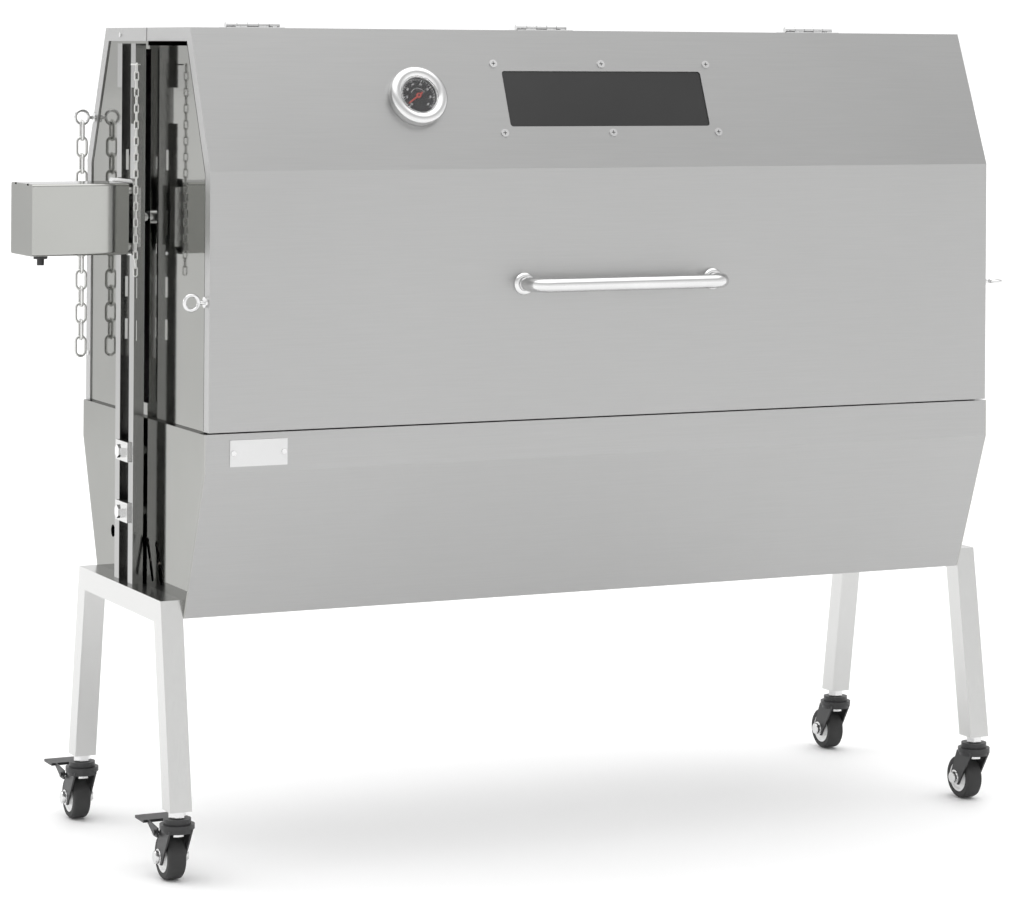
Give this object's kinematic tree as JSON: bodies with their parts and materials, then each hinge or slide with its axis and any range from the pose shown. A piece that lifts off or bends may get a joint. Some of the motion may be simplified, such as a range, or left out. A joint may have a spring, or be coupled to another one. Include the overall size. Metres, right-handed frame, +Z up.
{
  "type": "rotisserie spit roaster",
  "caption": "Long charcoal spit roaster on casters with a hinged windowed hood, a motor driven spit between two slotted end posts, and a tapered firebox.",
  "frame": {"origin": "centre of the bounding box on the floor", "axes": "+X along the spit away from the motor, -Y towards the front, +Z up"},
  "size_m": [1.203, 0.4875, 0.9275],
  "materials": {
    "stainless_panel": "satin brushed stainless sheet",
    "polished_panel": "mirror polished stainless sheet",
    "frame_steel": "polished stainless tube and channel",
    "bright_fittings": "bright polished",
    "spit_steel": "stainless bar",
    "grate_steel": "heat darkened steel",
    "bush_brass": "turned",
    "window_pane": "dark tinted heat proof glass",
    "gauge_pane": "clear glass",
    "window_frame": "black retaining frame",
    "dial_black": "black printed dial",
    "needle_red": "red painted",
    "motor_case": "cast gear motor",
    "black_plastic": "moulded",
    "caster_black": "black pressed steel",
    "caster_rubber": "black rubber tread on a grey hub"
  },
  "bodies": {
    "frame": {"firebox_trough": "stainless_panel", "firebox_end_left": "polished_panel", "firebox_end_right": "polished_panel", "charcoal_grate": "grate_steel", "grate_supports": "grate_steel", "hood_rear": "stainless_panel", "hood_end_left": "polished_panel", "hood_end_right": "polished_panel", "hinge_leaves_rear": "bright_fittings", "hinge_pins": "bright_fittings", "post_left": "frame_steel", "post_right": "frame_steel", "post_straps": "frame_steel", "frame_bolts": "bright_fittings", "leg_frame_left": "frame_steel", "leg_frame_right": "frame_steel", "rear_eyebolts": "bright_fittings", "nameplate": "stainless_panel", "caster_stems": "bright_fittings", "key_chains": "bright_fittings"},
    "lid": {"lid_shell": "stainless_panel", "window_glass": "window_pane", "window_gasket": "window_frame", "lid_screws": "bright_fittings", "thermometer_case": "bright_fittings", "thermometer_dial": "dial_black", "thermometer_glass": "gauge_pane", "lid_handle": "bright_fittings", "handle_collars": "bright_fittings", "hinge_leaves_lid": "bright_fittings", "lid_eyebolts": "bright_fittings"},
    "needle": {"thermometer_needle": "needle_red"},
    "chain_left": {"lid_chain_left": "bright_fittings"},
    "chain_right": {"lid_chain_right": "bright_fittings"},
    "carriage_l": {"carriage_left": "frame_steel", "motor_housing": "polished_panel", "motor_cap": "polished_panel", "gear_motor": "motor_case", "cable_gland": "black_plastic"},
    "carriage_r": {"carriage_right": "frame_steel", "spit_bush": "bush_brass"},
    "switch": {"motor_switch": "black_plastic"},
    "key_l": {"height_key_left": "frame_steel"},
    "key_r": {"height_key_right": "frame_steel"},
    "spit": {"spit_rod": "spit_steel", "drive_socket": "spit_steel"},
    "fork_l": {"fork_left": "spit_steel"},
    "fork_r": {"fork_right": "spit_steel"},
    "screw_l": {"fork_screw_left": "spit_steel"},
    "screw_r": {"fork_screw_right": "spit_steel"},
    "caster_fl": {"caster_fork_fl": "caster_black"},
    "wheel_fl": {"caster_wheel_fl": "caster_rubber"},
    "pedal_fl": {"brake_pedal_fl": "caster_black"},
    "caster_rl": {"caster_fork_rl": "caster_black"},
    "wheel_rl": {"caster_wheel_rl": "caster_rubber"},
    "pedal_rl": {"brake_pedal_rl": "caster_black"},
    "caster_rr": {"caster_fork_rr": "caster_black"},
    "wheel_rr": {"caster_wheel_rr": "caster_rubber"},
    "caster_fr": {"caster_fork_fr": "caster_black"},
    "wheel_fr": {"caster_wheel_fr": "caster_rubber"}
  },
  "joints": [
    {"name": "lid_hinge", "type": "hinge", "parent": "frame", "child": "lid", "pos_m": [0.0325, 0.00825, 0.924], "axis": [-1, 0, 0], "range_deg": [0, 110]},
    {"name": "needle_turn", "type": "hinge", "parent": "lid", "child": "needle", "pos_m": [-0.2035, -0.16475, 0.84418], "axis": [0, -0.9213, 0.3889], "range_deg": [-60, 180]},
    {"name": "chain_swing_left", "type": "hinge", "parent": "frame", "child": "chain_left", "pos_m": [-0.4745, 0.18425, 0.808], "axis": [1, 0, 0], "range_deg": [-10, 10]},
    {"name": "chain_swing_right", "type": "hinge", "parent": "frame", "child": "chain_right", "pos_m": [0.5395, 0.18425, 0.808], "axis": [1, 0, 0], "range_deg": [-10, 10]},
    {"name": "carriage_left_lift", "type": "slide", "parent": "frame", "child": "carriage_l", "axis": [0, 0, 1], "range_m": [-0.1423, 0.0473]},
    {"name": "carriage_right_lift", "type": "slide", "parent": "frame", "child": "carriage_r", "axis": [0, 0, 1], "range_m": [-0.1423, 0.0473]},
    {"name": "key_left_push", "type": "slide", "parent": "carriage_l", "child": "key_l", "axis": [0, -1, 0], "range_m": [0, 0.012]},
    {"name": "key_right_push", "type": "slide", "parent": "carriage_r", "child": "key_r", "axis": [0, -1, 0], "range_m": [0, 0.012]},
    {"name": "switch_rock", "type": "hinge", "parent": "carriage_l", "child": "switch", "pos_m": [-0.5655, 0.04475, 0.708], "axis": [1, 0, 0], "range_deg": [-8, 8]},
    {"name": "spit_turn", "type": "hinge", "parent": "carriage_l", "child": "spit", "pos_m": [0.0325, 0.00825, 0.708], "axis": [1, 0, 0], "continuous": true},
    {"name": "fork_left_slide", "type": "slide", "parent": "spit", "child": "fork_l", "axis": [1, 0, 0], "range_m": [-0.1, 0.15]},
    {"name": "fork_right_slide", "type": "slide", "parent": "spit", "child": "fork_r", "axis": [-1, 0, 0], "range_m": [-0.1, 0.15]},
    {"name": "fork_screw_l", "type": "hinge", "parent": "fork_l", "child": "screw_l", "pos_m": [-0.2875, 0.00825, 0.728], "axis": [0, 0, 1], "continuous": true},
    {"name": "fork_screw_r", "type": "hinge", "parent": "fork_r", "child": "screw_r", "pos_m": [0.3525, 0.00825, 0.728], "axis": [0, 0, 1], "continuous": true},
    {"name": "swivel_fl", "type": "hinge", "parent": "frame", "child": "caster_fl", "pos_m": [-0.474, -0.15325, 0.06], "axis": [0, 0, 1], "continuous": true},
    {"name": "roll_fl", "type": "hinge", "parent": "caster_fl", "child": "wheel_fl", "pos_m": [-0.474, -0.13325, 0.025], "axis": [1, 0, 0], "continuous": true},
    {"name": "pedal_press_fl", "type": "hinge", "parent": "caster_fl", "child": "pedal_fl", "pos_m": [-0.474, -0.13325, 0.052], "axis": [-1, 0, 0], "range_deg": [0, 6]},
    {"name": "swivel_rl", "type": "hinge", "parent": "frame", "child": "caster_rl", "pos_m": [-0.474, 0.16975, 0.06], "axis": [0, 0, 1], "continuous": true},
    {"name": "roll_rl", "type": "hinge", "parent": "caster_rl", "child": "wheel_rl", "pos_m": [-0.474, 0.18975, 0.025], "axis": [1, 0, 0], "continuous": true},
    {"name": "pedal_press_rl", "type": "hinge", "parent": "caster_rl", "child": "pedal_rl", "pos_m": [-0.474, 0.18975, 0.052], "axis": [-1, 0, 0], "range_deg": [0, 6]},
    {"name": "swivel_rr", "type": "hinge", "parent": "frame", "child": "caster_rr", "pos_m": [0.539, 0.16975, 0.06], "axis": [0, 0, 1], "continuous": true},
    {"name": "roll_rr", "type": "hinge", "parent": "caster_rr", "child": "wheel_rr", "pos_m": [0.539, 0.18975, 0.025], "axis": [1, 0, 0], "continuous": true},
    {"name": "swivel_fr", "type": "hinge", "parent": "frame", "child": "caster_fr", "pos_m": [0.539, -0.15325, 0.06], "axis": [0, 0, 1], "continuous": true},
    {"name": "roll_fr", "type": "hinge", "parent": "caster_fr", "child": "wheel_fr", "pos_m": [0.539, -0.13325, 0.025], "axis": [1, 0, 0], "continuous": true}
  ],
  "couplings": [
    {"joint": "carriage_right_lift", "follows": "carriage_left_lift", "ratio": 1}
  ]
}
